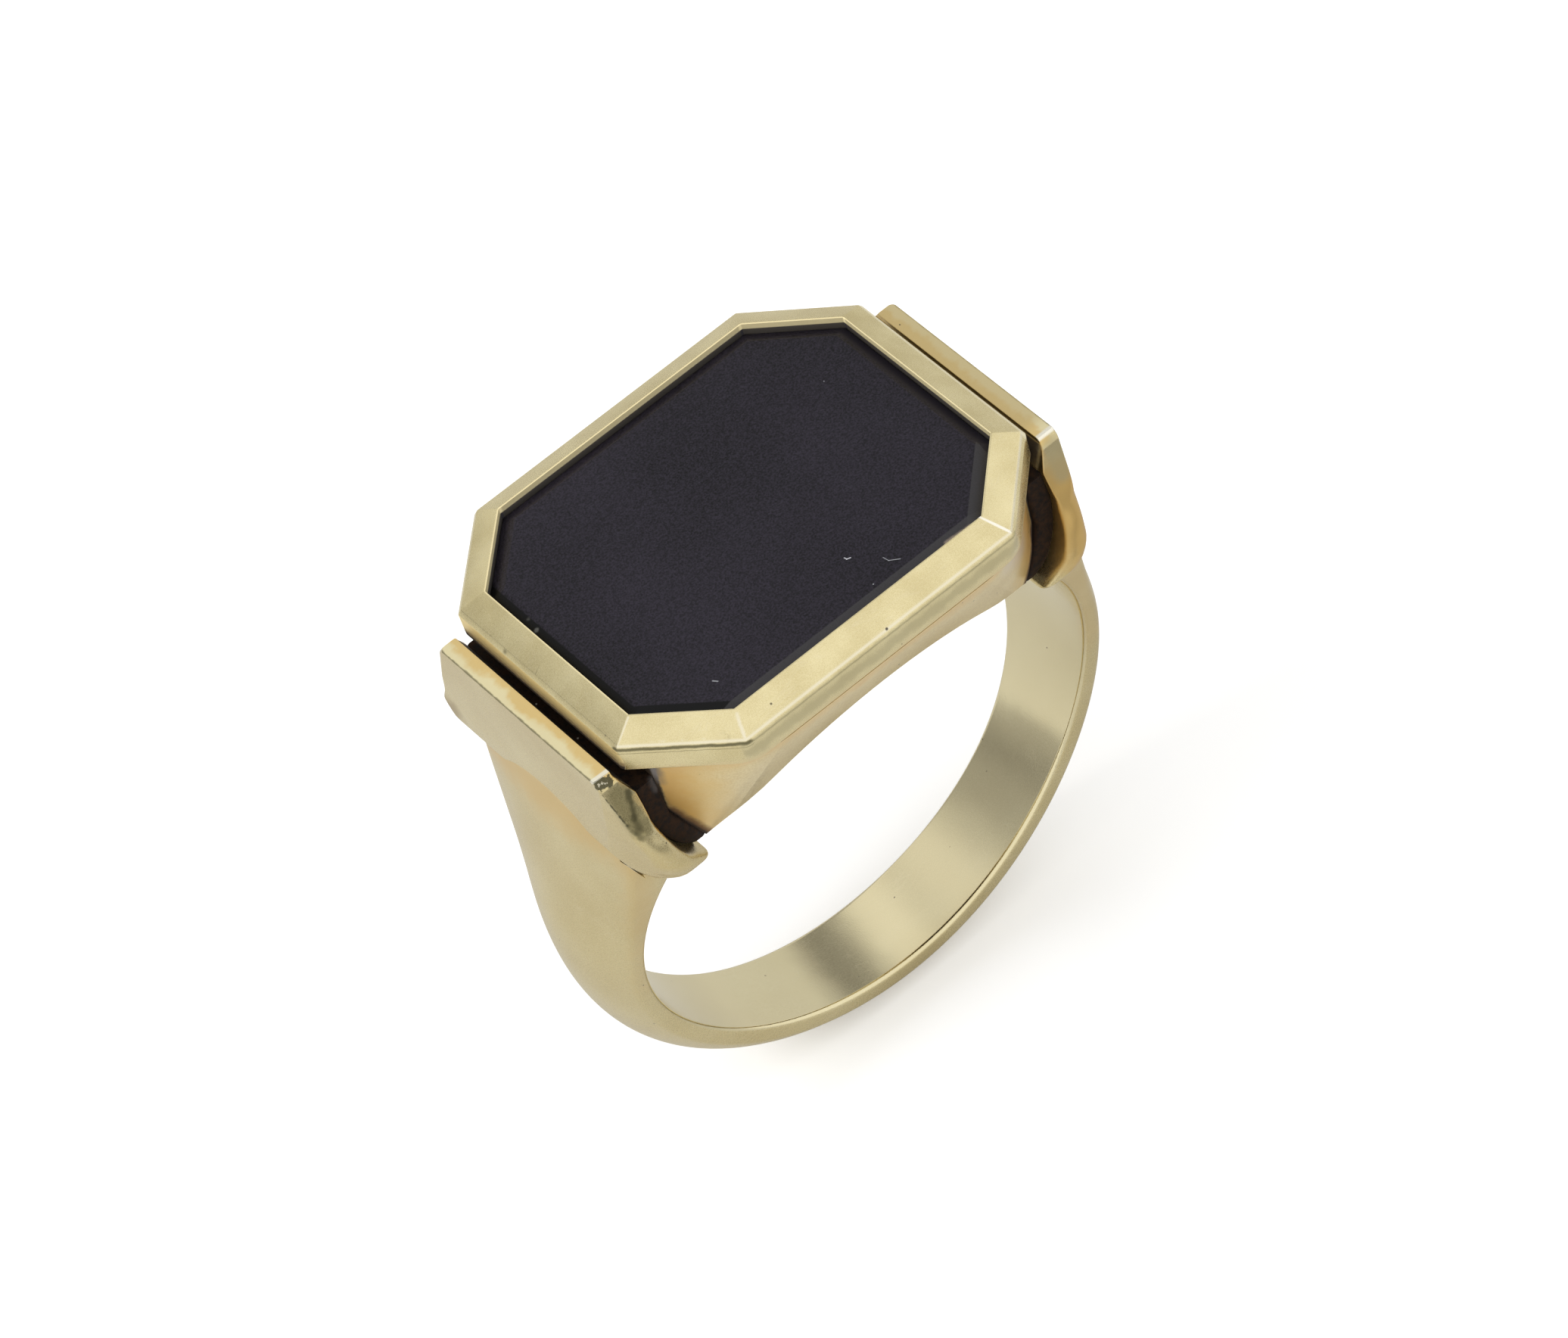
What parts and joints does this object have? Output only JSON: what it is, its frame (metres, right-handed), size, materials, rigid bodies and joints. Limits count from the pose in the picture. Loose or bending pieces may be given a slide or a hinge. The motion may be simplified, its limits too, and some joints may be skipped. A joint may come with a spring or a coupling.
{
  "type": "signet ring",
  "caption": "Gold-coloured signet ring with an octagonal black tablet in a bevelled rim, set between two upright shoulder flanges.",
  "frame": {"origin": "centre of the finger hole, on its axis and midway along it", "axes": "+Y along the finger hole, +Z from the hole's centre to the stone, +X across the head from one shoulder flange to the other"},
  "size_m": [0.0226, 0.0148, 0.0245],
  "materials": {
    "gold_shank": "polished",
    "gold_flange": "satin",
    "gold_gallery": "satin",
    "gold_bezel": "polished",
    "onyx": "satin",
    "cement": "gloss",
    "solder": "matte"
  },
  "bodies": {
    "root": {"shank": "gold_shank", "left_shoulder_flange": "gold_flange", "right_shoulder_flange": "gold_flange", "gallery": "gold_gallery", "bezel_rim": "gold_bezel", "stone_bearing": "gold_gallery", "stone_cement": "cement", "onyx_stone": "onyx", "left_head_bridge": "solder", "right_head_bridge": "solder"}
  },
  "joints": []
}
